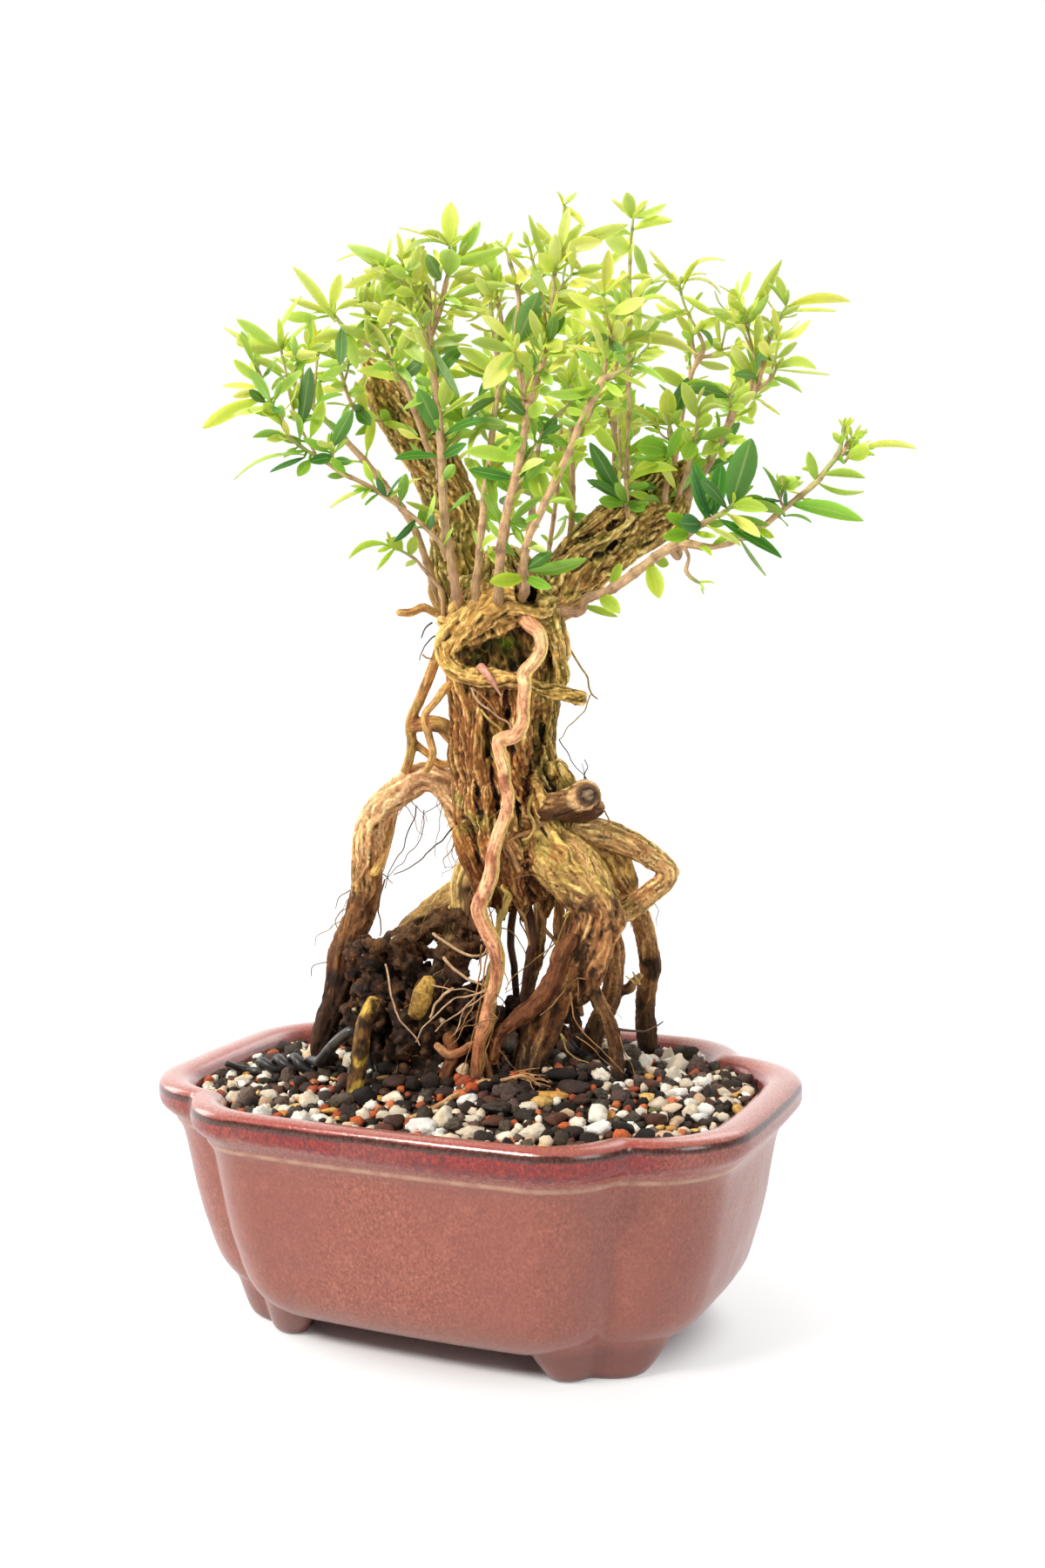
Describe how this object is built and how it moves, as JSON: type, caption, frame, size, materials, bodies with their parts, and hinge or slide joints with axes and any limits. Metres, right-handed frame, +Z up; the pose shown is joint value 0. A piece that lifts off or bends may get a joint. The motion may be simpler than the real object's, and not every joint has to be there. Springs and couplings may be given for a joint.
{
  "type": "bonsai tree",
  "caption": "Serissa bonsai with gnarled exposed roots, mossy forked trunk and open lance-leaved canopy in a glazed lobed oval pot.",
  "frame": {"origin": "centre of the bounding box in plan, at the level the pot's feet stand on", "axes": "+X along the pot's long side to the viewer's right, -Y towards the front, +Z up"},
  "size_m": [0.2412, 0.1755, 0.343],
  "materials": {
    "glaze": "speckled rose-brown satin glaze with a darker red glossy lip",
    "drain_mesh": "matte black",
    "soil": "granular pumice, lava and bark mix",
    "peat": "dark fibrous peat",
    "wire": "matte black sheathed wire",
    "bark": "rough mossy bark",
    "root_bark": "ridged root bark",
    "foliage": "semi-gloss leaves on smooth pinkish tan stems"
  },
  "bodies": {
    "root": {"anchor_wire_a": "wire", "anchor_wire_b": "wire", "back_root_a": "root_bark", "back_root_b": "root_bark", "centre_left_root": "root_bark", "crossing_root": "root_bark", "dead_twig_left": "root_bark", "drain_mesh_left": "drain_mesh", "drain_mesh_right": "drain_mesh", "elbow_root": "root_bark", "far_right_root": "root_bark", "front_aerial_root": "root_bark", "front_right_root": "root_bark", "left_arch_root": "root_bark", "left_main_branch": "bark", "left_mid_root": "root_bark", "left_thin_root_a": "root_bark", "left_thin_root_b": "root_bark", "lower_left_root": "root_bark", "middle_right_root": "root_bark", "pot": "glaze", "right_main_branch": "bark", "right_thick_root": "root_bark", "root_peat": "peat", "shoot_a": "foliage", "shoot_b": "foliage", "shoot_c": "foliage", "shoot_d": "foliage", "shoot_e": "foliage", "shoot_f": "foliage", "shoot_g": "foliage", "shoot_h": "foliage", "shoot_i": "foliage", "shoot_j": "foliage", "shoot_k": "foliage", "shoot_l": "foliage", "shoot_m": "foliage", "shoot_n": "foliage", "shoot_o": "foliage", "shoot_p": "foliage", "shoot_q": "foliage", "shoot_r": "foliage", "shoot_s": "foliage", "shoot_t": "foliage", "shoot_u": "foliage", "shoot_v": "foliage", "shoot_w": "foliage", "shoot_x": "foliage", "shoot_y": "foliage", "shoot_z": "foliage", "small_brown_root": "root_bark", "small_pale_root": "root_bark", "soil_bed": "soil", "stub_root": "root_bark", "trunk": "bark"}
  },
  "joints": []
}
